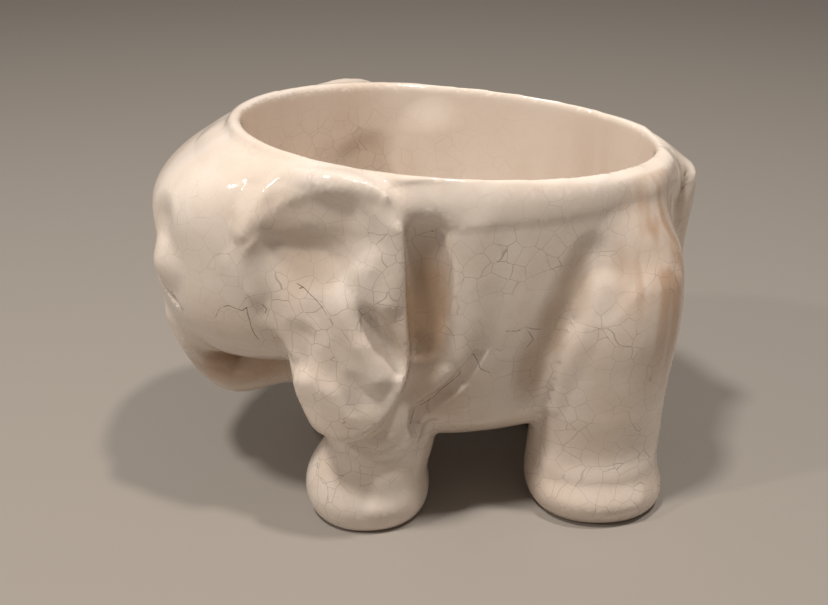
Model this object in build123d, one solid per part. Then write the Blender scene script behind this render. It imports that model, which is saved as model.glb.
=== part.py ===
from build123d import *
import os
from math import atan, copysign, cos, degrees, pi, radians, sin

# A glazed ceramic planter in the shape of a standing elephant. The head points along -X, the left
# side along -Y, and the feet stand on Z = 0. It is drain cast: one even wall goes round the bowl,
# and the bowl's hollow runs on into the head and down the legs. All lengths are in millimetres.
# Every member is one loft, and each is cut to the members that it is joined to.

os.makedirs("parts", exist_ok=True)

# Wall and rim
wall = 5.0
rump_wall = 8.0
floor_thickness = 6.0
sole_thickness = 6.0
rim_middle_height = 137.6
rim_slope_share = 0.075
rim_edge_radius = 2.2
rim_radius_limit_share = 0.45
overrun = 20.0

# Bowl: the egg-shaped body of the pot, whose widest place is at X = 0 until the part is centred
bowl_length = 159.0
bowl_front_share = 0.453
bowl_half_width = 55.2
belly_height = 31.0
shoulder_share = 0.85

# Share of the height from belly to shoulder, then the shares of front reach, rear reach and width
BOWL_SHARES = (
    (0.00, 0.42, 0.58, 0.51),
    (0.03, 0.54, 0.70, 0.63),
    (0.11, 0.66, 0.85, 0.77),
    (0.28, 0.78, 0.955, 0.885),
    (0.52, 0.90, 0.995, 0.96),
    (0.78, 0.975, 0.975, 0.995),
    (1.00, 1.00, 0.955, 1.00),
    (1.20, 1.00, 0.94, 1.00),
    (1.40, 1.00, 0.93, 1.00),
)

# A shallow upright recess in the bowl's side behind each ear
recess_depth = 2.6
recess_half_length = 8.5
recess_up_share = 0.69
recess_half_height_share = 0.275
recess_place_share = 0.11

# Head: level sections from the chin up to the crown, measured from the neck
neck_place_share = 0.694
head_front_reach = 50.5
head_rear_share = 0.36
head_half_width = 46.5
chin_height = 55.0
crown_rise = -2.1
head_fullness_share = 2.35
head_hollow_top_share = 0.55

# Share of the head's height, then the shares of front reach, rear reach and half width
HEAD_SHARES = (
    (0.000, 0.60, 0.45, 0.24),
    (0.035, 0.68, 0.60, 0.40),
    (0.083, 0.75, 0.75, 0.58),
    (0.130, 0.81, 0.90, 0.73),
    (0.184, 0.86, 1.00, 0.845),
    (0.267, 0.93, 1.00, 0.93),
    (0.404, 1.00, 1.00, 0.985),
    (0.541, 0.975, 1.00, 1.00),
    (0.674, 0.97, 1.00, 0.99),
    (0.770, 0.95, 1.00, 0.97),
    (0.844, 0.86, 1.00, 0.945),
    (0.913, 0.70, 1.00, 0.90),
    (0.964, 0.52, 1.00, 0.80),
    (1.000, 0.34, 1.00, 0.62),
)

# Trunk: its middle line goes down the face, turns under the chin and ends between the front legs
trunk_half_width = 15.0
trunk_half_thickness = 8.0
trunk_low_height = 42.5
trunk_top_share = 0.44

# Shares of the run back and of the drop along the middle line, the direction of the line in
# degrees below level, and the shares of half thickness and half width
TRUNK_SHARES = (
    (0.050, 0.000, 92, 0.55, 1.00),
    (0.015, 0.160, 92, 0.95, 1.05),
    (0.010, 0.380, 86, 1.08, 1.03),
    (0.045, 0.600, 80, 1.08, 0.98),
    (0.120, 0.775, 74, 1.15, 0.95),
    (0.211, 0.887, 52, 1.30, 0.92),
    (0.307, 0.922, 15, 1.56, 0.90),
    (0.428, 0.858, -8, 1.87, 0.88),
    (0.628, 0.819, -10, 1.87, 0.85),
    (0.870, 0.778, -8, 1.87, 0.80),
    (1.054, 0.751, -4, 1.87, 0.75),
)

# Legs: an oval column on each side, with a flared foot and a flat sole
leg_stance_share = 0.516
fore_place_share = 0.382
fore_half_length = 21.0
fore_half_width = 20.5
fore_top_share = 0.54
hind_place_share = 0.661
hind_half_length = 24.6
hind_half_width = 21.0
hind_top_share = 0.85
hind_hollow_top_share = 0.70

# Share of the leg's height, shifts back and outwards as shares of its half sizes, then the
# shares of its half length and half width
FORE_SHARES = (
    (0.000, 0.00, 0.00, 0.94, 0.94),
    (0.026, 0.00, 0.00, 1.03, 1.02),
    (0.080, -0.01, 0.00, 1.10, 1.07),
    (0.150, -0.01, 0.00, 1.08, 1.05),
    (0.250, 0.12, 0.00, 0.98, 0.97),
    (0.375, 0.23, 0.00, 0.97, 1.00),
    (0.500, 0.22, 0.01, 1.04, 1.02),
    (0.640, 0.20, 0.02, 1.10, 1.01),
    (0.765, 0.26, 0.01, 1.08, 0.97),
    (0.890, 0.30, -0.01, 1.02, 0.90),
    (1.000, 0.33, -0.04, 0.93, 0.82),
)
HIND_SHARES = (
    (0.000, 0.06, 0.00, 0.92, 0.93),
    (0.018, 0.05, 0.00, 1.00, 1.00),
    (0.055, 0.03, 0.00, 1.05, 1.05),
    (0.110, -0.01, 0.00, 1.02, 1.02),
    (0.180, -0.03, 0.00, 0.98, 0.99),
    (0.270, -0.03, 0.01, 0.965, 1.00),
    (0.360, -0.06, 0.02, 0.99, 1.00),
    (0.455, -0.09, 0.05, 1.03, 1.01),
    (0.555, -0.09, 0.08, 1.05, 1.03),
    (0.655, -0.05, 0.10, 1.02, 1.05),
    (0.745, 0.01, 0.07, 0.95, 1.04),
    (0.830, 0.06, 0.00, 0.85, 1.00),
    (0.915, 0.11, -0.17, 0.68, 0.90),
    (1.000, 0.18, -0.52, 0.42, 0.64),
)

# Ear: a flap that lies over the side of the head and bowl and stands proud of both, with a dish in
# its face. Its outline is drawn in shares of its length and height
ear_place_share = 0.938
ear_length = 55.5
ear_height = 94.0
ear_top_rise = -2.7
ear_rise = 5.3
ear_fullness_share = 2.35
ear_root_spread_share = 1.10
ear_root_depth_share = 0.45
ear_edge_spread_share = 0.94
dish_depth = 4.2
dish_back_share = 0.475
dish_up_share = 0.80
dish_length_share = 0.80
dish_height_share = 0.38
dish_reach_share = 1.27
fold_depth = 2.8
fold_half_width = 4.5
fold_half_height = 17.0
fold_back_share = 0.80
fold_up_share = 0.465
fold_slant = 29.0
EAR_OUTLINE_SHARES = (
    (0.02, 0.755),
    (0.06, 0.860),
    (0.19, 0.965),
    (0.38, 0.992),
    (0.57, 1.000),
    (0.77, 0.985),
    (0.92, 0.925),
    (0.97, 0.810),
    (0.98, 0.640),
    (0.99, 0.470),
    (1.00, 0.310),
    (0.945, 0.170),
    (0.80, 0.040),
    (0.62, 0.000),
    (0.42, 0.045),
    (0.315, 0.150),
    (0.28, 0.280),
    (0.225, 0.425),
    (0.12, 0.585),
)

# Shares of the ear's height for the level ovals that its face follows, and of the bowl's front
# reach for how far forward they go
EAR_FACE_SHARES = (
    (-0.08, 1.03),
    (0.14, 1.14),
    (0.35, 1.22),
    (0.56, 1.28),
    (0.74, 1.27),
    (0.87, 1.13),
    (0.95, 0.97),
    (1.06, 0.78),
)

# Tail: a tapering roll down the middle of the rump
tail_half_width = 6.5
tail_half_thickness = 5.5
tail_length = 72.0
tail_drop = 1.5

# Share of the tail's length, rise off the rump, and shares of half thickness and half width
TAIL_SHARES = (
    (0.00, -0.55, 0.60, 0.80),
    (0.06, 0.00, 0.85, 1.00),
    (0.20, 0.45, 1.05, 1.05),
    (0.34, 0.35, 1.00, 0.95),
    (0.50, 0.20, 0.85, 0.78),
    (0.70, 0.12, 0.75, 0.65),
    (0.88, 0.00, 0.65, 0.58),
    (1.00, -0.60, 0.35, 0.45),
)

OVAL_POINTS = 16
ROW_GAP_SHARE = 0.01
LEG_FULLNESS_SHARE = 2.2
LEFT, RIGHT = -1, 1

# Places that follow from the sizes above
bowl_front_reach = bowl_length * bowl_front_share
bowl_rear_reach = bowl_length - bowl_front_reach
shoulder_height = belly_height + (rim_middle_height - belly_height) * shoulder_share
neck_x = -bowl_front_reach * neck_place_share
leg_stance = bowl_half_width * leg_stance_share


def rim_height(x):
    """The rim slopes gently down from the head to the rump."""
    return rim_middle_height - rim_slope_share * x


def fuller(value, fullness):
    """A sine or cosine drawn out so that an oval of it has fuller corners."""
    return copysign(abs(value) ** (2 / fullness), value)


def closed_curve(points):
    return Wire([Edge.make_spline([Vector(*point) for point in points], periodic=True)])


def level_oval(middle, front, rear, half_width, fullness=2.0):
    """A level oval with its own reach to the front and to the rear of its middle."""
    points = []
    for step in range(OVAL_POINTS):
        turn = 2 * pi * step / OVAL_POINTS
        along = fuller(cos(turn), fullness)
        reach = rear if along > 0 else front
        across = half_width * fuller(sin(turn), fullness)
        points.append((middle[0] + reach * along, middle[1] + across, middle[2]))
    return closed_curve(points)


def tilted_oval(middle, direction, half_thickness, half_width):
    """An oval across a line in the middle plane that runs at an angle below level."""
    points = []
    for step in range(OVAL_POINTS):
        turn = 2 * pi * step / OVAL_POINTS
        out = half_thickness * cos(turn)
        x = middle[0] - out * sin(radians(direction))
        z = middle[2] - out * cos(radians(direction))
        points.append((x, middle[1] + half_width * sin(turn), z))
    return closed_curve(points)


def rows_between(table, height, base, top_share):
    """Rows of a share table up to a top share, from one that is worked out at a base height."""
    share = base / height
    below = [row for row in table if row[0] <= share][-1]
    kept = [row for row in table if share + ROW_GAP_SHARE <= row[0] <= top_share]
    part = (share - below[0]) / (kept[0][0] - below[0])
    return [tuple(low + part * (high - low) for low, high in zip(below, kept[0]))] + kept


def make_bowl(inset=0.0, rear_inset=0.0, lift=0.0):
    """The bowl's body up past the rim, or its hollow, drawn in by the wall and lifted off the floor."""
    rise = shoulder_height - belly_height
    sections = []
    for share, front, rear, width in rows_between(BOWL_SHARES, rise, lift, BOWL_SHARES[-1][0]):
        middle = (0, 0, belly_height + share * rise + lift)
        front_reach = bowl_front_reach * front - inset
        rear_reach = bowl_rear_reach * rear - rear_inset
        sections.append(level_oval(middle, front_reach, rear_reach, bowl_half_width * width - inset))
    return Solid.make_loft(sections)


def make_head(inset=0.0, lift=0.0, top_share=1.0):
    """The head, or its hollow, which opens into the bowl."""
    height = rim_height(neck_x) + crown_rise - chin_height
    rear_reach = bowl_front_reach * head_rear_share
    sections = []
    for share, front, rear, width in rows_between(HEAD_SHARES, height, lift, top_share):
        middle = (neck_x, 0, chin_height + share * height + lift)
        front_reach = head_front_reach * front - inset
        half_width = head_half_width * width - inset
        sections.append(level_oval(middle, front_reach, rear_reach * rear, half_width, head_fullness_share))
    return Solid.make_loft(sections)


def make_trunk():
    front_x = neck_x - head_front_reach + trunk_half_thickness
    run_back = -bowl_front_reach * fore_place_share - fore_half_length / 2 - front_x
    top_z = chin_height + (rim_height(neck_x) - chin_height) * trunk_top_share
    sections = []
    for run, drop, direction, thick, width in TRUNK_SHARES:
        middle = (front_x + run * run_back, 0, top_z - drop * (top_z - trunk_low_height))
        half_thickness = trunk_half_thickness * thick
        sections.append(tilted_oval(middle, direction, half_thickness, trunk_half_width * width))
    return Solid.make_loft(sections)


def make_leg(side, x, half_length, half_width, height, table, inset=0.0, lift=0.0, top_share=1.0):
    """A leg, or its hollow, drawn in by the wall and lifted off the sole."""
    sections = []
    for share, back, outward, length, width in rows_between(table, height, lift, top_share):
        y = side * (leg_stance + outward * half_width)
        reach = half_length * length - inset
        middle = (x + back * half_length, y, share * height + lift)
        sections.append(level_oval(middle, reach, reach, half_width * width - inset, LEG_FULLNESS_SHARE))
    return Solid.make_loft(sections)


def make_fore_leg(side, **hollow):
    x = -bowl_front_reach * fore_place_share
    height = belly_height + (rim_middle_height - belly_height) * fore_top_share
    return make_leg(side, x, fore_half_length, fore_half_width, height, FORE_SHARES, **hollow)


def make_hind_leg(side, **hollow):
    x = bowl_rear_reach * hind_place_share
    height = belly_height + (rim_middle_height - belly_height) * hind_top_share
    return make_leg(side, x, hind_half_length, hind_half_width, height, HIND_SHARES, **hollow)


def ear_outline(side, depth, spread):
    """The ear's outline in an upright plane, spread from the middle of its top edge."""
    front_x = -bowl_front_reach * ear_place_share
    top_z = rim_height(front_x) + ear_top_rise
    points = []
    for back, up in EAR_OUTLINE_SHARES:
        x = front_x + (0.5 + (back - 0.5) * spread) * ear_length
        points.append((x, side * depth, top_z - (1 - up) * spread * ear_height))
    return closed_curve(points)


def make_ear_face():
    """The stack of level ovals whose outside is the ear's face."""
    top_z = rim_height(-bowl_front_reach * ear_place_share) + ear_top_rise
    sections = []
    for up, front in EAR_FACE_SHARES:
        middle = (0, 0, top_z - (1 - up) * ear_height)
        reach = bowl_front_reach * front
        sections.append(level_oval(middle, reach, reach, bowl_half_width + ear_rise, ear_fullness_share))
    return Solid.make_loft(sections)


def ear_face_y(x):
    """How far out the ear's face stands, at the height of its dish."""
    share = (abs(x) / (bowl_front_reach * dish_reach_share)) ** ear_fullness_share
    return (bowl_half_width + ear_rise) * (1 - share) ** (1 / ear_fullness_share)


def make_dish(side):
    """What is hollowed out of the ear's face."""
    front_x = -bowl_front_reach * ear_place_share
    half_length = ear_length * dish_length_share / 2
    half_height = ear_height * dish_height_share / 2
    x = front_x + ear_length * dish_back_share
    z = rim_height(front_x) + ear_top_rise - ear_height * (1 - dish_up_share)
    turn = degrees(atan((ear_face_y(x + half_length) - ear_face_y(x - half_length)) / (2 * half_length)))
    dish = scale(Sphere(1), by=(half_length, dish_depth, half_height))
    return Pos(x, side * ear_face_y(x), z) * Rot(0, 0, side * turn) * dish


def make_fold(side):
    """The slanting groove below the dish, where the ear's lower flap is folded."""
    front_x = -bowl_front_reach * ear_place_share
    x = front_x + ear_length * fold_back_share
    z = rim_height(front_x) + ear_top_rise - ear_height * (1 - fold_up_share)
    groove = scale(Sphere(1), by=(fold_half_width, fold_depth, fold_half_height))
    return Pos(x, side * ear_face_y(x), z) * Rot(0, -fold_slant, 0) * groove


def make_ear(side):
    """The flap between two outlines, trimmed to its face, with its dish and fold hollowed out."""
    face_y = bowl_half_width + ear_rise
    root = ear_outline(side, face_y * ear_root_depth_share, ear_root_spread_share)
    edge = ear_outline(side, face_y, ear_edge_spread_share)
    return (Solid.make_loft([root, edge]) & make_ear_face()) - make_dish(side) - make_fold(side)


def rump_x(z):
    """Where the bowl's rear surface stands at a height."""
    share = (z - belly_height) / (shoulder_height - belly_height)
    for low, high in zip(BOWL_SHARES, BOWL_SHARES[1:]):
        if share <= high[0]:
            part = (share - low[0]) / (high[0] - low[0])
            return bowl_rear_reach * (low[2] + (high[2] - low[2]) * part)
    return bowl_rear_reach * BOWL_SHARES[-1][2]


def make_tail():
    top_z = rim_height(bowl_rear_reach) - tail_drop
    sections = []
    for share, rise, thick, width in TAIL_SHARES:
        z = top_z - share * tail_length
        middle = (rump_x(z) + rise * tail_half_thickness, 0, z)
        sections.append(tilted_oval(middle, 90, tail_half_thickness * thick, tail_half_width * width))
    return Solid.make_loft(sections)


def make_lid():
    """A block that stands over the sloping rim, to trim what is above it."""
    side = bowl_length + overrun
    block = Box(side, side, overrun * 3, align=(Align.CENTER, Align.CENTER, Align.MIN))
    return Pos(0, 0, rim_height(0)) * Rot(0, degrees(atan(rim_slope_share)), 0) * block


def make_recess(side):
    """What is pressed into the bowl's side behind an ear."""
    x = -bowl_front_reach * recess_place_share
    z = belly_height + (rim_middle_height - belly_height) * recess_up_share
    half_height = (rim_middle_height - belly_height) * recess_half_height_share
    recess = scale(Sphere(1), by=(recess_half_length, recess_depth, half_height))
    return Pos(x, side * bowl_half_width, z) * recess


def make_shell(bowl):
    """The bowl with its hollow and its rounded rim."""
    shell = bowl - make_lid() - make_bowl(wall, rump_wall, floor_thickness / 2)
    lip = shell.faces().filter_by(GeomType.PLANE).sort_by(Axis.Z)[-1]
    return shell.fillet(min(rim_edge_radius, wall * rim_radius_limit_share), lip.edges())


def cut(solid, *others):
    """The largest piece that is left of a solid outside the others."""
    for other in others:
        solid = solid - other
    return solid.solids().sort_by(SortBy.VOLUME)[-1]


def make_nodes():
    bowl = make_bowl() - make_recess(LEFT) - make_recess(RIGHT)
    head = make_head()
    head_hollow = make_head(wall, floor_thickness / 2, head_hollow_top_share)
    fore, hind, hollows = {}, {}, [head_hollow]
    nodes = {}
    for side, word in ((LEFT, "left"), (RIGHT, "right")):
        fore[side] = make_fore_leg(side)
        hind[side] = make_hind_leg(side)
        fore_hollow = make_fore_leg(side, inset=wall, lift=sole_thickness / 2)
        hind_hollow = make_hind_leg(side, inset=wall, lift=sole_thickness / 2, top_share=hind_hollow_top_share)
        hollows += [fore_hollow, hind_hollow]
        nodes[f"{word}_ear"] = cut(make_ear(side), bowl, head, fore[side])
        nodes[f"front_{word}_leg"] = cut(fore[side], fore_hollow, bowl, head)
        nodes[f"hind_{word}_leg"] = cut(hind[side], hind_hollow, bowl)
    nodes["pot_body"] = cut(make_shell(bowl), *hollows)
    nodes["head"] = cut(head, bowl, head_hollow)
    nodes["trunk"] = cut(make_trunk(), head, bowl, *fore.values())
    nodes["tail"] = cut(make_tail(), bowl)
    return nodes


nodes = make_nodes()
box = Compound(list(nodes.values())).bounding_box()
middle_x = (box.min.X + box.max.X) / 2
for name, solid in nodes.items():
    export_step(Pos(-middle_x, 0, 0) * solid, f"parts/{name}.step")
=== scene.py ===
from contextlib import contextmanager
from math import radians
import bpy
import numpy as np
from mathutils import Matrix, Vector


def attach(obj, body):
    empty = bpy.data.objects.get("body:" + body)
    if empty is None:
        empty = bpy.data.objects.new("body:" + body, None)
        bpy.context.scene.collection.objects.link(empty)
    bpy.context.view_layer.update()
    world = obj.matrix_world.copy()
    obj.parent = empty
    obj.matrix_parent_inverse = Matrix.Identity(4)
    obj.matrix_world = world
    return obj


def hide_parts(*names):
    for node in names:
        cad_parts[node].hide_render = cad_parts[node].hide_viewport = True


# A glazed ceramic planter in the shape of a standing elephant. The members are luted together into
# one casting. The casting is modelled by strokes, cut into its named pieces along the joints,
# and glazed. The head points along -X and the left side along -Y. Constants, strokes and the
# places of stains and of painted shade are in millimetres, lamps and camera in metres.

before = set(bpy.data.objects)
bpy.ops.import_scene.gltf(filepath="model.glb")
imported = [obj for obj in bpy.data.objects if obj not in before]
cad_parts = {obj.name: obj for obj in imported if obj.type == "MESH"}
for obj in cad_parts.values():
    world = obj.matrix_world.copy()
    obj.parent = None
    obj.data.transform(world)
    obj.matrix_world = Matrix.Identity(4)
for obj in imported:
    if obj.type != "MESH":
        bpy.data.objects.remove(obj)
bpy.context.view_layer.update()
MM = 0.001

# The pieces are cut in this order, and the last one is what remains
MEMBERS = [
    "left_ear",
    "right_ear",
    "trunk",
    "tail",
    "front_left_leg",
    "front_right_leg",
    "hind_left_leg",
    "hind_right_leg",
    "head",
    "pot_body",
]

# Luting: how far the members swell, how fine the clay is and how often it is softened
MERGE_DISTANCE = 0.01
SLIP_SWELL = 0.15
CLAY_GRAIN = 1.0
CLAY_PASSES = 8

# Cutting: the same for the room round each member, and the size of a cut's slivers
ROOM_SWELL = 2.6
ROOM_GRAIN = 1.6
ROOM_PASSES = 4
SLIVER = 0.004


# Tools for meshes


def link(thing):
    bpy.context.scene.collection.objects.link(thing)


def pick_only(piece):
    bpy.ops.object.select_all(action="DESELECT")
    piece.select_set(True)
    bpy.context.view_layer.objects.active = piece


def duplicate(piece):
    twin = piece.copy()
    twin.data = piece.data.copy()
    link(twin)
    return twin


@contextmanager
def editing(piece):
    """Edit mode, with all of the piece's mesh selected."""
    pick_only(piece)
    bpy.ops.object.mode_set(mode="EDIT")
    bpy.ops.mesh.select_all(action="SELECT")
    yield
    bpy.ops.object.mode_set(mode="OBJECT")


def modify(piece, kind, **settings):
    """Adds a modifier with its settings, and applies it."""
    modifier = piece.modifiers.new(kind.lower(), kind)
    for name, value in settings.items():
        setattr(modifier, name, value)
    pick_only(piece)
    bpy.ops.object.modifier_apply(modifier=modifier.name)


def copy_member(node, swell):
    """A merged copy of a member, swollen along its normals."""
    piece = bpy.data.objects.new(node + "_clay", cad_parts[node].data.copy())
    link(piece)
    with editing(piece):
        bpy.ops.mesh.remove_doubles(threshold=MERGE_DISTANCE * MM)
    modify(piece, "DISPLACE", mid_level=0.0, strength=swell * MM)
    return piece


def keep_largest(piece):
    """Drops all loose parts but the largest: bubbles inside the joints, or crumbs of a cut."""
    with editing(piece):
        bpy.ops.mesh.separate(type="LOOSE")
    parts = sorted(bpy.context.selected_objects, key=lambda part: len(part.data.vertices))
    for part in parts[:-1]:
        bpy.data.objects.remove(part)
    return parts[-1]


def knead(piece, grain, passes):
    """Turns a piece into one evenly meshed, softened skin of clay."""
    modify(piece, "REMESH", mode="VOXEL", voxel_size=grain * MM)
    piece = keep_largest(piece)
    modify(piece, "SMOOTH", factor=0.5, iterations=passes)
    return piece


def lute_members():
    """Joins slightly swollen copies of all the members into one casting."""
    copies = [copy_member(node, SLIP_SWELL) for node in MEMBERS]
    bpy.ops.object.select_all(action="DESELECT")
    for piece in copies:
        piece.select_set(True)
    bpy.context.view_layer.objects.active = copies[0]
    bpy.ops.object.join()
    joined = bpy.context.view_layer.objects.active
    joined.name = "casting"
    return knead(joined, CLAY_GRAIN, CLAY_PASSES)


# Modelling


LEFT = (0, -1, 0)
BACK = (1, 0, 0)
INTO_BOWL = (0, 1, 0)

# Every stroke is worked on the left side and, mirrored, on the right
SIDES = (np.array([1.0, 1.0, 1.0]), np.array([1.0, -1.0, 1.0]))
FACING_RAMP = 0.3
SPONGE_FACING = -0.2
SPONGE_PLATEAU = 0.3
SPONGE_SHARE = 0.6
LEAST_WEIGHT = 0.001
DAB_LENGTH = 0.01


class Clay:
    """A piece's points in millimetres, which strokes move and sponges smooth."""

    def __init__(self, piece, sponged):
        self.sponged = sponged
        self.mesh = piece.data
        count = len(self.mesh.vertices)
        points = np.empty(count * 3, np.float32)
        self.mesh.vertices.foreach_get("co", points)
        self.points = points.reshape(-1, 3).astype(float) / MM
        edges = np.empty(len(self.mesh.edges) * 2, np.int32)
        self.mesh.edges.foreach_get("vertices", edges)
        first, second = edges.reshape(-1, 2).T
        self.ends = np.concatenate([first, second])
        self.others = np.concatenate([second, first])
        self.degree = np.bincount(self.ends, minlength=count)[:, None]

    def write(self):
        self.mesh.vertices.foreach_set("co", (self.points * MM).astype(np.float32).ravel())
        self.mesh.update()

    def read_normals(self):
        """The skin's normals after the strokes so far, which the next strokes go by."""
        self.write()
        normals = np.empty(len(self.points) * 3, np.float32)
        self.mesh.vertex_normals.foreach_get("vector", normals)
        self.normals = normals.reshape(-1, 3).astype(float)

    def nearness(self, points, path, plateau):
        """1 on a path of (x, y, z, reach) points, falling to 0 at its reach.

        The plateau is the share of the reach over which it stays 1."""
        best = np.zeros(len(points))
        path = np.array(path, float)
        if len(path) == 1:
            path = np.concatenate([path, path + [0, 0, DAB_LENGTH, 0]])
        for a, b in zip(path, path[1:]):
            line = b[:3] - a[:3]
            offset = points - a[:3]
            along = np.clip(offset @ line / max(line @ line, 1e-9), 0, 1)
            gap = np.linalg.norm(offset - along[:, None] * line, axis=1)
            reach = a[3] + (b[3] - a[3]) * along
            share = np.clip((gap / reach - plateau) / (1 - plateau), 0, 1)
            best = np.maximum(best, 1 - share * share * (3 - 2 * share))
        return best

    def stroke(self, amount, path, out=LEFT, own=False, plateau=0.0):
        """Raises the skin that faces out along a path, or presses it in where the amount is negative.

        The skin moves along its own normals where own is set, and else along out."""
        out = np.array(out, float)
        out /= np.linalg.norm(out)
        moved = np.zeros_like(self.points)
        for flip in SIDES:
            normals = self.normals * flip
            weight = self.nearness(self.points * flip, path, plateau)
            weight *= np.clip(normals @ out / FACING_RAMP, 0, 1)
            way = normals if own else out
            moved += amount * weight[:, None] * way * flip
        self.points += moved

    def sponge(self, passes, path, out=LEFT):
        """Smooths the skin along a path. The rooms that pieces are cut from aren't sponged."""
        if not self.sponged:
            return
        out = np.array(out, float)
        weight = np.zeros(len(self.points))
        for flip in SIDES:
            near = self.nearness(self.points * flip, path, SPONGE_PLATEAU)
            near *= np.clip(((self.normals * flip) @ out - SPONGE_FACING) / FACING_RAMP, 0, 1)
            weight = np.maximum(weight, near)
        self.smooth(passes, weight)

    def smooth(self, passes, weight):
        """Moves each point towards the mean of its neighbours, by its weight."""
        chosen = np.nonzero(weight > LEAST_WEIGHT)[0]
        index = np.full(len(self.points), -1)
        index[chosen] = np.arange(len(chosen))
        used = index[self.ends] >= 0
        ends = index[self.ends[used]]
        others = self.others[used]
        share = weight[chosen][:, None] * SPONGE_SHARE
        degree = self.degree[chosen]
        for _ in range(passes):
            total = np.empty((len(chosen), 3))
            for axis in range(3):
                total[:, axis] = np.bincount(ends, self.points[others, axis], len(chosen))
            self.points[chosen] += share * (total / degree - self.points[chosen])


def model_ears(clay):
    # The front edge runs on into the cheek below the ridge
    clay.stroke(2.4, [(-62, -45, 107, 7), (-58, -45.5, 98, 8), (-53.5, -45, 89, 7)])
    clay.read_normals()
    clay.sponge(80, [(-60, -47, 107, 9), (-55, -48, 97, 11), (-51, -48, 88, 9)])
    clay.sponge(
        120,
        [(-54, -50, 103, 9), (-44, -53, 101, 11), (-33, -57, 101, 11), (-24, -58, 104, 9)],
    )
    # Dish, with its rim at the front, top and rear
    clay.read_normals()
    clay.stroke(-1.6, [(-49, -49, 127, 8), (-40, -53, 130, 8), (-27, -57, 129, 8)])
    clay.stroke(-2.2, [(-49, -49, 117, 11), (-40, -52, 117, 14), (-30, -55, 119, 12)])
    clay.stroke(
        1.7,
        [(-50, -42, 135, 6), (-53.5, -44, 131, 7), (-57.5, -45.3, 125, 7), (-60, -45.5, 119, 5)],
    )
    clay.stroke(
        0.8,
        [(-48, -42, 137, 4), (-36, -51, 137.5, 5), (-25, -56, 137.5, 5), (-16, -57, 135, 5)],
    )
    clay.stroke(1.2, [(-14, -58, 131, 6), (-13, -60, 122, 7), (-13, -60, 110, 7), (-15, -60, 100, 6)])
    # The dish runs out below
    clay.read_normals()
    clay.stroke(-1.9, [(-50, -51, 109, 10), (-41, -54, 108, 11), (-33, -56, 107, 9)])
    clay.stroke(-1.6, [(-48, -52, 114, 12), (-37, -55, 114, 11)])
    clay.stroke(-2.4, [(-51, -49, 111, 9), (-42, -51, 111, 10), (-33, -54, 112, 9)])
    clay.stroke(-1.2, [(-51, -50, 101, 10), (-42, -55, 100, 9)])
    clay.stroke(-2.4, [(-51, -50, 104, 12), (-42, -53, 103, 12), (-36, -55, 102, 9)])
    clay.stroke(-3.4, [(-51, -49, 93, 11), (-43, -53, 91, 12)])
    clay.stroke(-2.4, [(-45, -53, 80, 12)])
    clay.sponge(140, [(-52, -48, 106, 11), (-42, -51, 104, 12), (-45, -51, 88, 12)])
    # Bulge over the fold, groove behind it, hollow before it, and the fold's ridge
    clay.read_normals()
    clay.stroke(1.2, [(-22, -59, 114, 8), (-21, -59, 107, 9), (-20, -59, 101, 8)])
    clay.stroke(-1.6, [(-22, -58, 97, 4), (-19, -59.5, 90, 6), (-16, -59.5, 83, 6), (-13, -60, 75, 4)])
    clay.stroke(-1.2, [(-37, -56, 92, 10), (-36, -57, 83, 10), (-35, -57, 74, 9)])
    clay.stroke(
        2.3,
        [
            (-30, -57.5, 101, 5),
            (-28.5, -58.5, 95, 6),
            (-27, -58.7, 89, 7),
            (-24, -59, 81, 7),
            (-21, -59, 73, 8),
        ],
    )
    clay.read_normals()
    clay.sponge(25, [(-29, -57.5, 100, 8), (-27, -58.5, 92, 8)])
    # Lobe, which hangs lower and further back
    clay.stroke(-2.8, [(-45, -53, 84, 8), (-46, -52, 74, 8)], out=(-1, -0.3, 0))
    clay.stroke(
        3.6,
        [(-39, -51, 53, 9), (-31, -53, 48, 10), (-22, -54, 47, 10), (-15, -53, 50, 8)],
        out=(0, -0.2, -1),
    )
    clay.stroke(1.3, [(-35, -55, 66, 11), (-30, -56, 58, 12)])
    clay.stroke(-1.3, [(-26, -58, 70, 7), (-25, -58, 63, 7)])


def model_flanks(clay):
    # Top of the recess behind the ear, the recess and the swelling behind it
    clay.stroke(2.2, [(-3, -54, 128, 10)])
    clay.stroke(
        -1.4,
        [(-3.5, -54, 120, 9), (-3.5, -54, 108, 9.5), (-4, -53, 92, 9), (-6, -52, 80, 7)],
        plateau=0.4,
    )
    clay.stroke(1.0, [(11, -55, 124, 10), (11, -55, 105, 11), (9.5, -54, 86, 10), (7, -53, 76, 8)])
    # Hollow of the ear and the swelling beside it, inside the bowl
    clay.stroke(
        -0.9,
        [(-21, -46, 108, 15), (-21, -47, 80, 12)],
        out=INTO_BOWL,
        own=True,
        plateau=0.3,
    )
    clay.stroke(-0.8, [(-35, -41, 106, 15), (-35, -42, 80, 13)], out=INTO_BOWL, own=True)
    clay.stroke(1.8, [(5, -49, 118, 16), (6, -49, 96, 20)], out=INTO_BOWL)


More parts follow.
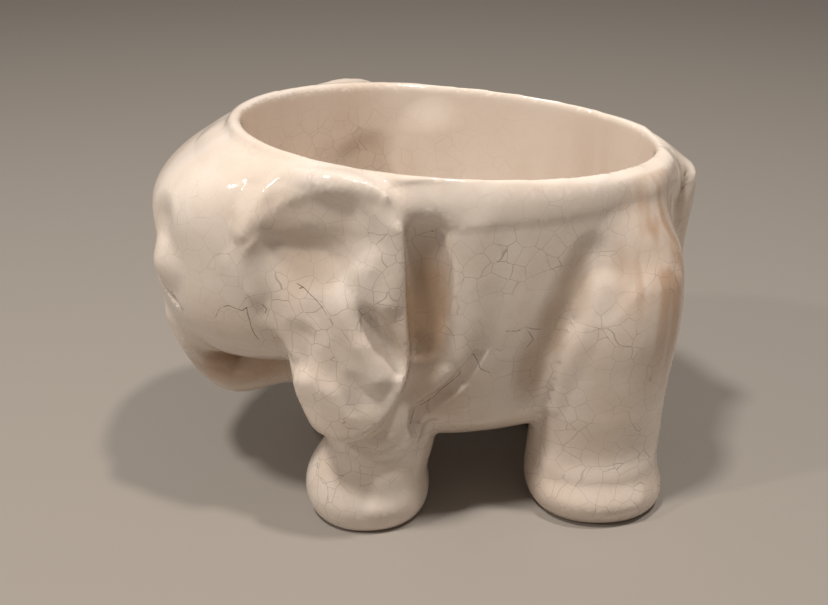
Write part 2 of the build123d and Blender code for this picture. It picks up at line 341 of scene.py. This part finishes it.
def model_thighs(clay):
    # The rump runs down into the thigh
    clay.stroke(5.5, [(77, -33, 116, 9), (68, -38, 115, 10), (60, -43, 114, 8)])
    clay.stroke(2.5, [(78, -27, 127, 8), (69, -34, 127, 8)])
    clay.stroke(-1.8, [(76, -42, 103, 9), (68, -45, 104, 10), (60, -46, 103, 9)])
    clay.read_normals()
    clay.sponge(200, [(79, -31, 117, 12), (70, -39, 113, 15), (61, -43, 111, 14), (51, -47, 96, 12)])
    # Groove before the thigh, and the thigh's crest
    clay.stroke(
        -1.2,
        [
            (48, -47, 109, 9),
            (43, -48.7, 96, 10),
            (37.5, -49.3, 82, 10),
            (33, -48.8, 69, 10),
            (30, -47.3, 56, 8),
        ],
    )
    clay.stroke(
        1.5,
        [
            (54, -45.8, 97, 8),
            (49.5, -46.7, 87.5, 9),
            (45.5, -46.9, 78, 9),
            (42, -46.7, 68.5, 9),
            (40, -45.9, 60, 8),
            (40, -43.6, 50, 7),
        ],
    )


def model_forelegs(clay):
    # Wrinkle behind the leg, the folds of skin on either side of it, and a second wrinkle below
    clay.stroke(
        -1.9,
        [
            (13.5, -53, 78, 3),
            (8.6, -51.9, 69, 4),
            (4.2, -50.7, 62, 4),
            (-2.3, -49.2, 56.4, 4),
            (-6.3, -47.6, 51.7, 4),
            (-8, -47, 46, 3),
            (-8, -46, 39, 2),
        ],
        out=(0.2, -1, 0),
    )
    clay.stroke(
        1.2,
        [
            (3, -51.5, 70, 5),
            (-3, -50.5, 62, 6),
            (-9, -49, 52, 6),
            (-14, -49, 44, 5),
            (-20, -49, 40, 4),
        ],
    )
    clay.stroke(
        1.0,
        [(8, -51, 62, 5), (2, -50, 55, 6), (-3, -48, 48, 5), (-7, -46.5, 41, 4)],
        out=(0.3, -1, 0),
    )
    clay.stroke(
        -0.8,
        [(-0.7, -46, 45, 3), (-4.6, -44, 37, 4), (-11, -46.6, 33, 4), (-19, -49, 32, 3)],
        out=(0.3, -1, 0),
    )


def model_face(clay):
    # The crown runs up into the lip
    crown = [(-74, 0, 138, 8), (-71, -18, 138, 8), (-62, -32, 138, 8), (-51, -42, 138, 6)]
    clay.stroke(1.6, crown, out=(-0.4, -0.3, 1))
    clay.sponge(60, crown, out=(0, 0, 1))
    # Cheek, hollow of the brow, and the slit of the eye
    clay.read_normals()
    clay.stroke(3.8, [(-87, -27, 101, 12)], out=(-1, -0.5, 0), own=True)
    clay.stroke(-2.4, [(-87, -26, 116, 10)], out=(-1, -0.5, 0), own=True)
    clay.stroke(
        -1.8,
        [(-89.8, -26.5, 92.4, 1.6), (-87, -30.2, 89.3, 2.2), (-84, -32.5, 85.7, 1.4)],
        out=(-1, -0.6, 0),
        own=True,
    )


def model_chin(clay):
    # The face runs down into the trunk, whose curl starts below the cheek
    clay.stroke(5.0, [(-89, -15, 75, 9), (-85, -15, 65, 9), (-79, -14, 58, 8)], out=(-0.35, -1, 0))
    clay.read_normals()
    clay.sponge(90, [(-90, -22, 84, 8), (-86, -24, 74, 10), (-80, -26, 66, 9)])


def model_lip(clay):
    # The lip turns over softly above a slight swelling
    lip = [(-12, -57), (3, -55), (24, -53.4), (43.5, -48.5), (61, -40), (77, -25.5), (84, -14)]
    clay.stroke(-1.5, [(x, y, 136, 4) for x, y in lip], out=(0.3, -1, 0.6))
    clay.stroke(0.5, [(x, y, 127, 7) for x, y in lip], out=(0.3, -1, 0))
    clay.read_normals()
    clay.sponge(60, [(x, y, 130, 7) for x, y in lip], out=(0.3, -1, 0.4))
    # The rim swells into the root of the tail
    clay.read_normals()
    clay.stroke(1.4, [(87, -6, 119, 12), (87, 6, 119, 12)], out=BACK)
    clay.stroke(1.1, [(84, -7, 132, 9), (84, 7, 132, 9)], out=BACK)
    clay.read_normals()
    clay.sponge(160, [(87, -9, 127, 10), (87, 9, 127, 10)], out=(1, 0, 0.3))


def model_feet(clay):
    # The toes flare out over narrower ankles
    hind = [(44, -43, 8), (51, -48, 9), (62, -50, 9), (74, -46, 8)]
    fore = [(-37, -42, 6), (-31, -47, 7), (-21, -49, 7), (-11, -46, 7)]
    out = (-0.1, -1, 0)
    clay.stroke(1.9, [(x, y, 10, reach) for x, y, reach in hind], out)
    clay.stroke(-1.6, [(x, y + 1, 30, reach + 2) for x, y, reach in hind], out)
    clay.sponge(90, [(x, y, 36, reach + 3) for x, y, reach in hind])
    clay.stroke(1.2, [(x, y, 11, reach) for x, y, reach in fore], out)
    clay.stroke(-0.9, [(x, y + 1, 28, reach) for x, y, reach in fore], out)


def model_tail(clay):
    # Groove on either side, and a soft root
    clay.stroke(
        -1.1,
        [
            (84, -8, 131, 2),
            (87, -8.5, 123, 3),
            (88.3, -8.3, 109, 3),
            (88.5, -8, 98, 3),
            (87, -8, 90, 2),
        ],
        out=(0.4, -1, 0),
    )
    clay.sponge(60, [(91, -4, 130, 8), (91, 4, 130, 8)], out=(1, 0, 0.5))


MODELLING = [
    model_ears,
    model_flanks,
    model_thighs,
    model_forelegs,
    model_face,
    model_chin,
    model_lip,
    model_feet,
    model_tail,
]


def model_all(piece, sponged):
    clay = Clay(piece, sponged)
    for model in MODELLING:
        clay.read_normals()
        model(clay)
    clay.write()


# Pieces, cut from the casting along the joints


def make_room(node):
    """The room round a member that its piece is cut from. It follows the strokes."""
    room = knead(copy_member(node, ROOM_SWELL), ROOM_GRAIN, ROOM_PASSES)
    model_all(room, sponged=False)
    return room


def clean_cut(piece):
    """Closes the slivers that a cut leaves, and drops the crumbs."""
    with editing(piece):
        bpy.ops.mesh.dissolve_degenerate(threshold=SLIVER * MM)
    return keep_largest(piece)


def cut_pieces(casting):
    pieces = {}
    rest = duplicate(casting)
    for node in MEMBERS[:-1]:
        room = make_room(node)
        piece = duplicate(rest)
        modify(piece, "BOOLEAN", operation="INTERSECT", solver="MANIFOLD", object=room)
        modify(rest, "BOOLEAN", operation="DIFFERENCE", solver="MANIFOLD", object=room)
        bpy.data.objects.remove(room)
        pieces[node] = piece
    pieces[MEMBERS[-1]] = rest
    return {node: clean_cut(piece) for node, piece in pieces.items()}


def shade_like(piece, casting):
    """Gives a piece the unbroken shading of the casting that it was cut from."""
    modify(
        piece,
        "DATA_TRANSFER",
        object=casting,
        use_loop_data=True,
        data_types_loops={"CUSTOM_NORMAL"},
        loop_mapping="POLYINTERP_NEAREST",
    )


# Glaze


IVORY = (0.80, 0.705, 0.62)
WARM_IVORY = (0.73, 0.59, 0.48)
MOTTLE = (0.66, 0.53, 0.42)
# Brown of the painted shade in the recesses, creases and grooves
PAINTED_SHADE_BROWN = (0.47, 0.32, 0.21)
# Brown of the darker streaks on the rump
RUMP_STREAK_BROWN = (0.53, 0.36, 0.25)
# Painted bounce light inside the bowl, paler, and warmer towards the head
PAINTED_BOUNCE_LIGHT = (0.90, 0.79, 0.69)
PAINTED_BOUNCE_LIGHT_AT_HEAD = (0.96, 0.75, 0.58)
CRACK_STAIN = (0.25, 0.18, 0.13)
HAIRLINE_STAIN = (0.07, 0.045, 0.03)
BARE_CLAY = (0.62, 0.47, 0.35)

GLOSSIEST = 0.06
DULLEST = 0.11
SOLE_ROUGHNESS = 0.8
GLAZE_IOR = 1.52
CRACK_DEPTH = 0.05
FLOW_HEIGHT = 0.22

# Each pair is where an effect begins and where it has ended, along one axis
LIP_HEIGHTS = (122, 136)
CROWN_LENGTHS = (-78, -50)
BOWL_TAPER_HEIGHTS = (30, 112)
BOWL_FLOOR_HEIGHTS = (42, 50)
INNER_HEAD_LENGTHS = (-52, -12)
LEFT_SIDE_WIDTHS = (-26, -22)
SOLE_HEIGHTS = (0.6, 1.4)

# The bowl's oval at its lip, seen from above
BOWL_MIDDLE = 11.5
BOWL_HALF_LENGTH = 76
BOWL_HALF_WIDTH = 52.7

# Cracks: how far they wander, and the size of each net's cells with the half width of its lines
WANDER = 3.0
COARSE_NET = (6.6, 0.13)
FINE_NET = (3.1, 0.12)
HAIRLINE_REACH = 0.24

# Dark lines as (x, z) points, seen from the left side: stained cracks, and a line along the slit of the
# eye
BROW_SLIT = [(-90, 92.8), (-87, 89.5), (-84, 85.6)]
CHEEK_LOOP = [
    (-72, 86.8),
    (-69.5, 91),
    (-66, 92.8),
    (-62, 91.8),
    (-60.7, 93.1),
    (-60.2, 85.5),
    (-58.1, 80),
]
CHEEK_CHIP = [(-55.8, 94.5), (-54.3, 92.5), (-54.8, 91)]
EAR_CHIP = [(-43.5, 102.8), (-41.8, 101.8), (-43, 101.5)]
EAR_CRACK = [(-42, 102), (-38, 98.5), (-33, 92.5)]
FLANK_CRACK = [(22.5, 85.5), (26.5, 85.2), (29, 86.6), (34, 84.2)]
FLANK_BRANCH = [(29, 86.6), (31.5, 81), (29.5, 78)]
FLANK_SPLIT = [(12.5, 77), (14.5, 71.5), (18, 69)]
FOLD_CRACK = [(8.6, 69), (4, 62.5), (1, 59), (-6.3, 52), (-8, 46)]
SPECK = [(-1.5, 121), (-1.2, 120.6)]
HAIRLINES = [
    BROW_SLIT,
    CHEEK_LOOP,
    CHEEK_CHIP,
    EAR_CHIP,
    EAR_CRACK,
    FLANK_CRACK,
    FLANK_BRANCH,
    FLANK_SPLIT,
    FOLD_CRACK,
    SPECK,
]

# Middle and reaches of each place where shade is painted in brown, in the recesses, creases and grooves,
# on both sides, and how much it shows
PAINTED_SHADE_PLACES = [
    ((-3.5, 54, 94), (11, 12, 34), 1.0),
    ((-20, 46, 112), (19, 12, 44), 0.25),
    ((-14, 60, 88), (7, 9, 16), 0.3),
    ((-38, 52, 121), (23, 12, 18), 0.2),
    ((-43, 53, 110), (15, 10, 14), 0.45),
    ((-68, 16, 52), (28, 28, 13), 0.85),
    ((88, 8, 110), (5, 5, 26), 0.4),
    ((0, 49, 58), (14, 9, 14), 0.4),
    ((44, 48, 100), (8, 9, 18), 0.5),
    ((38, 50, 84), (7, 9, 18), 0.6),
    ((32, 49, 66), (8, 9, 20), 0.6),
]

# The same for the darker, streaked place on the rump, and how far its streaks are drawn out
RUMP = ((76, 38, 98), (30, 26, 54), 0.95)
STREAK_SQUEEZE = (1.0, 1.0, 0.06)


class Recipe:
    """Places and joins the nodes of a glaze."""

    def __init__(self, tree):
        self.tree = tree

    def add(self, kind, **settings):
        node = self.tree.nodes.new(kind)
        for name, value in settings.items():
            setattr(node, name, value)
        return node

    def feed(self, socket, value):
        if isinstance(value, bpy.types.NodeSocket):
            self.tree.links.new(value, socket)
        else:
            socket.default_value = value

    def reckon(self, operation, a, b=0.0, clamp=False):
        node = self.add("ShaderNodeMath", operation=operation, use_clamp=clamp)
        self.feed(node.inputs[0], a)
        self.feed(node.inputs[1], b)
        return node.outputs[0]

    def times(self, a, b):
        return self.reckon("MULTIPLY", a, b)

    def vector(self, operation, a, b=(0.0, 0.0, 0.0)):
        node = self.add("ShaderNodeVectorMath", operation=operation)
        self.feed(node.inputs[0], a)
        self.feed(node.inputs[1], b)
        gives_number = operation in {"DOT_PRODUCT", "LENGTH", "DISTANCE"}
        return node.outputs["Value" if gives_number else "Vector"]

    def ease(self, value, low, high, start, end):
        """The value's way from low to high, as a soft step from start to end."""
        node = self.add("ShaderNodeMapRange", interpolation_type="SMOOTHSTEP")
        self.feed(node.inputs["Value"], value)
        self.feed(node.inputs["From Min"], low)
        self.feed(node.inputs["From Max"], high)
        self.feed(node.inputs["To Min"], start)
        self.feed(node.inputs["To Max"], end)
        return node.outputs["Result"]

    def fade(self, coordinate, span, start, end):
        """A soft step over a span along one axis."""
        return self.ease(coordinate, span[0] * MM, span[1] * MM, start, end)

    def noise(self, place, size, detail):
        """Noise whose clouds are as wide as the size."""
        node = self.add("ShaderNodeTexNoise")
        self.feed(node.inputs["Vector"], place)
        node.inputs["Scale"].default_value = 1 / (size * MM)
        node.inputs["Detail"].default_value = detail
        return node

    def cloud(self, place, size, low, high, start, end, detail=2.0):
        """Clouds of a noise between low and high, which lead softly from start to end."""
        return self.ease(self.noise(place, size, detail).outputs[0], low, high, start, end)

    def net(self, place, size, line):
        """The lines of a net of cracks, from the cells' size and the lines' half width."""
        node = self.add("ShaderNodeTexVoronoi", feature="DISTANCE_TO_EDGE")
        self.feed(node.inputs["Vector"], place)
        node.inputs["Scale"].default_value = 1 / (size * MM)
        node.inputs["Randomness"].default_value = 0.85
        return self.ease(node.outputs["Distance"], 0.0, line / size, 1.0, 0.0)

    def hairline(self, place, start, end):
        """1 on a line seen from the side, between two (x, z) points, and 0 at its reach."""
        run = Vector((end[0] - start[0], 0, end[1] - start[1])) * MM
        offset = self.vector("SUBTRACT", place, (start[0] * MM, 0, start[1] * MM))
        along = self.vector("DOT_PRODUCT", offset, tuple(run / run.length_squared))
        along = self.reckon("MULTIPLY", along, 1.0, clamp=True)
        reached = self.add("ShaderNodeVectorMath", operation="SCALE")
        reached.inputs[0].default_value = run
        self.feed(reached.inputs["Scale"], along)
        gap = self.vector("DISTANCE", offset, reached.outputs["Vector"])
        return self.ease(gap, 0.0, HAIRLINE_REACH * MM, 1.0, 0.0)

    def pool(self, place, middle, reaches, amount):
        """The amount at a place, falling to 0 at its reaches along X, Y and Z."""
        offset = self.vector("SUBTRACT", place, tuple(Vector(middle) * MM))
        shares = self.vector("DIVIDE", offset, tuple(Vector(reaches) * MM))
        return self.times(self.ease(self.vector("LENGTH", shares), 0.35, 1.0, 1.0, 0.0), amount)

    def tint(self, colour, amount, stain):
        node = self.add("ShaderNodeMix", data_type="RGBA")
        self.feed(node.inputs[0], amount)
        self.feed(node.inputs[6], colour)
        self.feed(node.inputs[7], (*stain, 1.0))
        return node.outputs[2]


def add_ivory(mix, place):
    """The glaze's own colour, with warmer clouds and a mottle."""
    warm = mix.cloud(place, 34.0, 0.35, 0.7, 0.0, 1.0)
    colour = mix.tint((*IVORY, 1.0), mix.times(warm, 0.5), WARM_IVORY)
    mottle = mix.cloud(place, 9.0, 0.4, 0.75, 0.0, 0.28, detail=4.0)
    return mix.tint(colour, mottle, MOTTLE)


def add_painted_shade_and_rump_streaks(mix, colour, place, x, y, z):
    """Painted shade, brown, in the recesses, creases and grooves, and darker streaks on the rump."""
    side = mix.add("ShaderNodeCombineXYZ")
    mix.feed(side.inputs["X"], x)
    mix.feed(side.inputs["Y"], mix.reckon("ABSOLUTE", y))
    mix.feed(side.inputs["Z"], z)
    mirrored = side.outputs[0]
    # Painted shade: brown in each recess, crease and groove, where shade falls
    for shade_place in PAINTED_SHADE_PLACES:
        colour = mix.tint(colour, mix.pool(mirrored, *shade_place), PAINTED_SHADE_BROWN)
    # Darker streaks on the rump
    squeezed = mix.vector("MULTIPLY", place, STREAK_SQUEEZE)
    streaks = mix.cloud(squeezed, 6.0, 0.38, 0.64, 0.3, 1.0, detail=1.0)
    return mix.tint(colour, mix.times(mix.pool(mirrored, *RUMP), streaks), RUMP_STREAK_BROWN)


def find_outside(mix, place, z):
    """1 outside the bowl's tapering oval, and 0.3 inside it."""
    offset = mix.vector("SUBTRACT", place, (BOWL_MIDDLE * MM, 0.0, 0.0))
    shares = (1 / (BOWL_HALF_LENGTH * MM), 1 / (BOWL_HALF_WIDTH * MM), 0.0)
    distance = mix.vector("LENGTH", mix.vector("MULTIPLY", offset, shares))
    taper = mix.fade(z, BOWL_TAPER_HEIGHTS, 0.55, 1.0)
    return mix.ease(mix.reckon("DIVIDE", distance, taper), 0.96, 1.0, 0.3, 1.0)


def add_painted_bounce_light(mix, colour, outside, x, z):
    """Painted bounce light: paler inside the bowl, and warmer towards the head."""
    bounce_lit = mix.ease(outside, 0.3, 1.0, 0.7, 0.0)
    bounce_lit = mix.times(bounce_lit, mix.fade(z, BOWL_FLOOR_HEIGHTS, 0.0, 1.0))
    colour = mix.tint(colour, bounce_lit, PAINTED_BOUNCE_LIGHT)
    bounce_lit_at_head = mix.times(bounce_lit, mix.fade(x, INNER_HEAD_LENGTHS, 0.9, 0.0))
    return mix.tint(colour, bounce_lit_at_head, PAINTED_BOUNCE_LIGHT_AT_HEAD)


def find_net(mix, place, bent, outside, x, z):
    """The net of cracks: clear on the flanks, ears and hind legs, faint on the crown, lip and inside."""
    patches = mix.cloud(place, 26.0, 0.36, 0.62, 0.25, 1.0)
    below_lip = mix.fade(z, LIP_HEIGHTS, 1.0, 0.3)
    behind_crown = mix.fade(x, CROWN_LENGTHS, 0.4, 1.0)
    strength = mix.times(mix.times(patches, below_lip), mix.times(behind_crown, outside))
    coarse = mix.times(mix.net(bent, *COARSE_NET), strength)
    fine = mix.times(mix.net(bent, *FINE_NET), mix.times(strength, 0.2))
    return mix.reckon("MAXIMUM", coarse, fine)


def find_hairlines(mix, place, wander, y):
    """The dark lines of the stained cracks and of the eye's slit, which are on the left side only and
    fade here and there.
    """
    jagged = mix.vector("ADD", place, mix.vector("MULTIPLY", wander, (0.8, 0.8, 0.8)))
    jagged = mix.vector("MULTIPLY", jagged, (1.0, 0.0, 1.0))
    stained = 0.0
    for line in HAIRLINES:
        for start, end in zip(line, line[1:]):
            stained = mix.reckon("MAXIMUM", mix.hairline(jagged, start, end), stained)
    stained = mix.times(stained, mix.fade(y, LEFT_SIDE_WIDTHS, 1.0, 0.0))
    return mix.times(stained, mix.cloud(place, 3.0, 0.34, 0.5, 0.25, 1.0))


def make_glaze():
    """A glossy ivory glaze with brown tea stains in its cracks, left off the bare soles."""
    material = bpy.data.materials.new("ivory_crackle_glaze")
    material.use_nodes = True
    mix = Recipe(material.node_tree)
    shader = material.node_tree.nodes["Principled BSDF"]
    place = mix.add("ShaderNodeTexCoord").outputs["Object"]
    parts = mix.add("ShaderNodeSeparateXYZ")
    mix.feed(parts.inputs[0], place)
    x, y, z = parts.outputs
    wander = mix.vector("SUBTRACT", mix.noise(place, 9.0, 1.0).outputs["Color"], (0.5, 0.5, 0.5))
    wander = mix.vector("MULTIPLY", wander, (WANDER * MM, WANDER * MM, WANDER * MM))
    bent = mix.vector("ADD", place, wander)
    outside = find_outside(mix, place, z)
    net = find_net(mix, place, bent, outside, x, z)
    hairlines = find_hairlines(mix, place, wander, y)
    bare = mix.fade(z, SOLE_HEIGHTS, 1.0, 0.0)

    colour = add_ivory(mix, place)
    # Painted shade in the hollows, and darker streaks on the rump
    colour = add_painted_shade_and_rump_streaks(mix, colour, place, x, y, z)
    # Painted bounce light inside the bowl
    colour = add_painted_bounce_light(mix, colour, outside, x, z)
    colour = mix.tint(colour, mix.times(net, 0.55), CRACK_STAIN)
    colour = mix.tint(colour, mix.times(hairlines, 0.8), HAIRLINE_STAIN)
    colour = mix.tint(colour, bare, BARE_CLAY)
    mix.feed(shader.inputs["Base Color"], colour)

    grain = mix.cloud(place, 5.0, 0.3, 0.7, GLOSSIEST, DULLEST, detail=3.0)
    roughness = mix.reckon("MAXIMUM", grain, mix.times(bare, SOLE_ROUGHNESS))
    mix.feed(shader.inputs["Roughness"], roughness)
    shader.inputs["IOR"].default_value = GLAZE_IOR

    # The cracks are sunk a little, and the glaze has run
    relief = mix.times(mix.reckon("MAXIMUM", net, hairlines), -CRACK_DEPTH * MM)
    flow = mix.times(mix.noise(place, 11.0, 1.0).outputs[0], FLOW_HEIGHT * MM)
    bump = mix.add("ShaderNodeBump")
    bump.inputs["Strength"].default_value = 0.6
    bump.inputs["Distance"].default_value = 1.0
    mix.feed(bump.inputs["Height"], mix.reckon("ADD", relief, flow))
    mix.feed(shader.inputs["Normal"], bump.outputs["Normal"])
    return material


# Floor, light and camera


FLOOR_SIZE = 6.0
FLOOR_COLOUR = (0.33, 0.297, 0.265, 1.0)
FLOOR_ROUGHNESS = 0.8
LAMP_AIM = Vector((0.0, 0.0, 0.07))
SKY_COLOUR = (1.0, 0.93, 0.86, 1.0)
SKY_STRENGTH = 0.21

# The photograph's angle, fitted to the feet, rim and outline
SENSOR_WIDTH = 36.0
LENS = 41.304
CAMERA_PLACE = (-0.02105, -0.3158, 0.2369)
CAMERA_TILT = radians(62.0)
CAMERA_TURN = radians(-3.0)


def add_floor():
    bpy.ops.mesh.primitive_plane_add(size=FLOOR_SIZE, location=(0.0, 0.0, 0.0))
    floor = bpy.context.view_layer.objects.active
    floor.name = "floor"
    paper = bpy.data.materials.new("pale_paper")
    paper.use_nodes = True
    inputs = paper.node_tree.nodes["Principled BSDF"].inputs
    inputs["Base Color"].default_value = FLOOR_COLOUR
    inputs["Roughness"].default_value = FLOOR_ROUGHNESS
    floor.data.materials.append(paper)


def add_lamp(name, place, size, power, colour):
    data = bpy.data.lights.new(name, "AREA")
    data.shape = "DISK"
    data.size = size
    data.energy = power
    data.color = colour
    lamp = bpy.data.objects.new(name, data)
    lamp.location = place
    lamp.rotation_euler = (LAMP_AIM - Vector(place)).to_track_quat("-Z", "Y").to_euler()
    link(lamp)


def light_sky():
    world = bpy.context.scene.world or bpy.data.worlds.new("studio")
    bpy.context.scene.world = world
    world.use_nodes = True
    inputs = world.node_tree.nodes["Background"].inputs
    inputs["Color"].default_value = SKY_COLOUR
    inputs["Strength"].default_value = SKY_STRENGTH


def add_camera():
    data = bpy.data.cameras.new("camera")
    data.sensor_width = SENSOR_WIDTH
    data.lens = LENS
    camera = bpy.data.objects.new("camera", data)
    camera.location = CAMERA_PLACE
    camera.rotation_euler = (CAMERA_TILT, 0.0, CAMERA_TURN)
    link(camera)
    bpy.context.scene.camera = camera
    bpy.context.scene.view_settings.view_transform = "Standard"


# The planter.


casting = lute_members()
model_all(casting, sponged=True)
pieces = cut_pieces(casting)
glaze = make_glaze()
for node, piece in pieces.items():
    piece.name = node + "_glazed"
    piece.data.name = piece.name
    piece.data.materials.clear()
    piece.data.materials.append(glaze)
    pick_only(piece)
    bpy.ops.object.shade_smooth()
    shade_like(piece, casting)
    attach(piece, "root")
    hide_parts(node)
bpy.data.objects.remove(casting)

add_floor()
add_lamp("key", (-0.32, -0.30, 1.12), size=0.12, power=7.8, colour=(1.0, 0.95, 0.89))
add_lamp("side", (-0.95, -0.40, 0.95), size=0.07, power=3.2, colour=(1.0, 0.94, 0.87))
add_lamp("right", (0.26, -0.22, 1.18), size=0.08, power=6.0, colour=(1.0, 0.94, 0.88))
light_sky()
add_camera()
